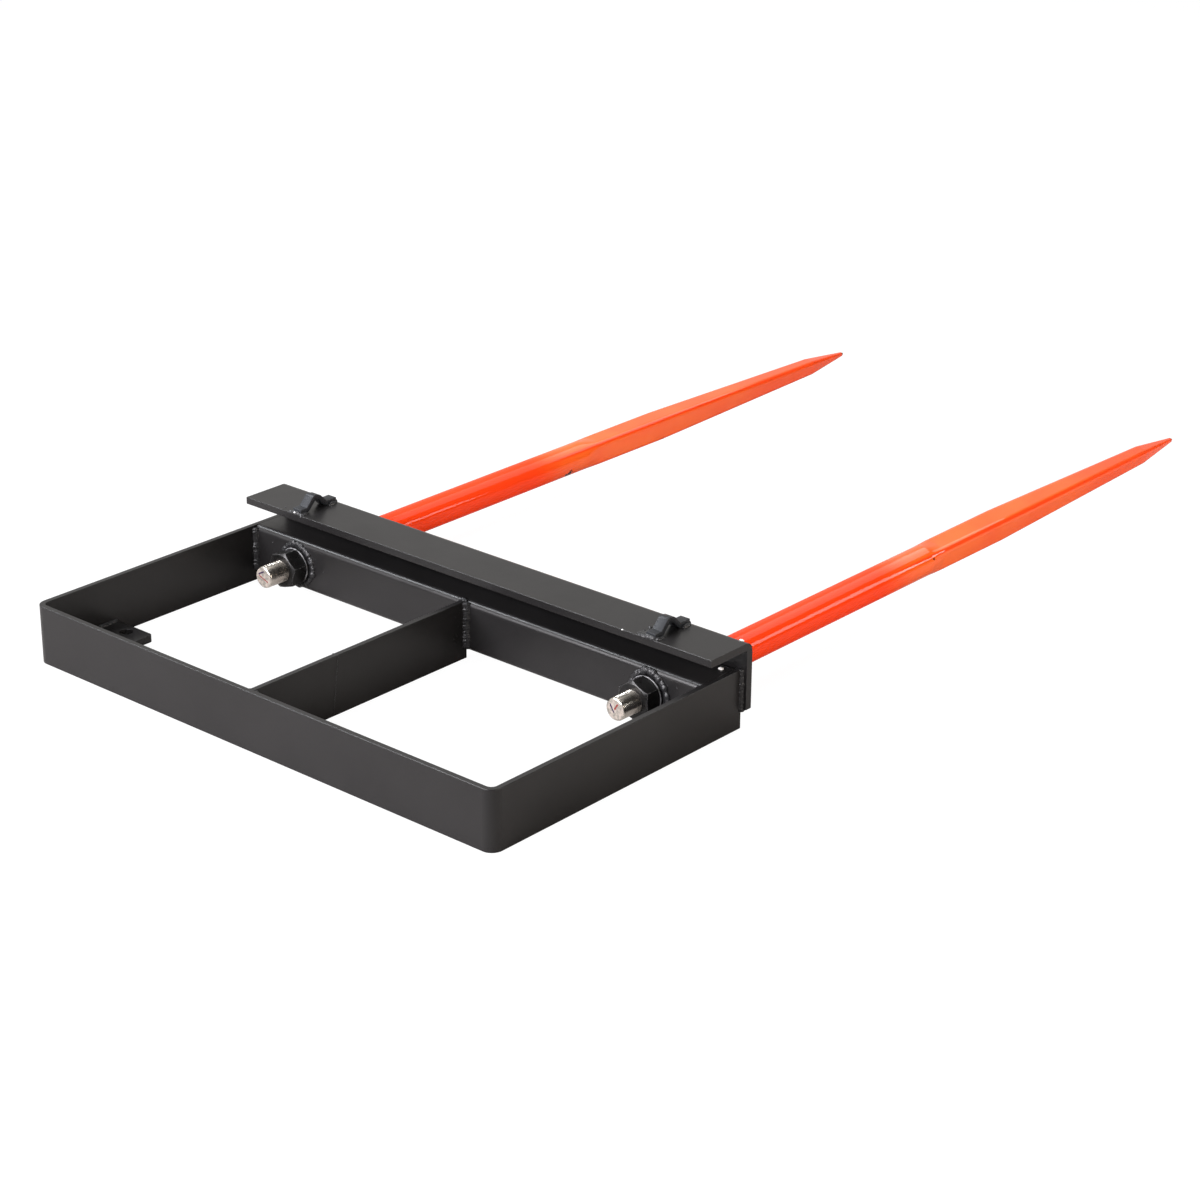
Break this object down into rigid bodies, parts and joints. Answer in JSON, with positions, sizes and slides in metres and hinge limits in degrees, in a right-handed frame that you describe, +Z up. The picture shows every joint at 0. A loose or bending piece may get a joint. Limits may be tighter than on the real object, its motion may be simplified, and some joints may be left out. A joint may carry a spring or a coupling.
{
  "type": "bale spear",
  "caption": "Bale spear for a loader bucket: flat-bar frame, square cross beam, folded edge plate over a slot, tapered tines in weld-in sockets, chain loops and lugs.",
  "frame": {"origin": "middle of the frame's underside, on the surface it stands on", "axes": "+Y along the tines to their tips, +Z up, +X to the right seen from behind the frame"},
  "size_m": [0.816, 1.607, 0.1377],
  "materials": {
    "frame_paint": "satin black paint",
    "tine_paint": "gloss orange-red paint, bare steel thread",
    "nut_black": "black, half gloss"
  },
  "bodies": {
    "root": {"frame_strip": "frame_paint", "middle_bar_rear": "frame_paint", "middle_bar_front": "frame_paint", "cross_beam": "frame_paint", "edge_plate": "frame_paint", "left_socket": "frame_paint", "right_socket": "frame_paint", "left_tine": "tine_paint", "right_tine": "tine_paint", "left_nut": "nut_black", "right_nut": "nut_black", "left_chain_loop": "frame_paint", "right_chain_loop": "frame_paint", "left_lug": "frame_paint", "right_lug": "frame_paint", "left_socket_rear_weld": "frame_paint", "right_socket_rear_weld": "frame_paint", "left_socket_front_weld": "frame_paint", "right_socket_front_weld": "frame_paint", "left_beam_end_weld": "frame_paint", "right_beam_end_weld": "frame_paint", "left_plate_end_weld": "frame_paint", "right_plate_end_weld": "frame_paint", "left_lug_weld": "frame_paint", "right_lug_weld": "frame_paint", "middle_bar_front_weld": "frame_paint", "middle_bar_rear_weld": "frame_paint", "middle_bar_seam_weld": "frame_paint", "plate_lower_weld": "frame_paint", "left_loop_rear_weld": "frame_paint", "right_loop_rear_weld": "frame_paint", "left_loop_front_weld": "frame_paint", "right_loop_front_weld": "frame_paint"}
  },
  "joints": []
}
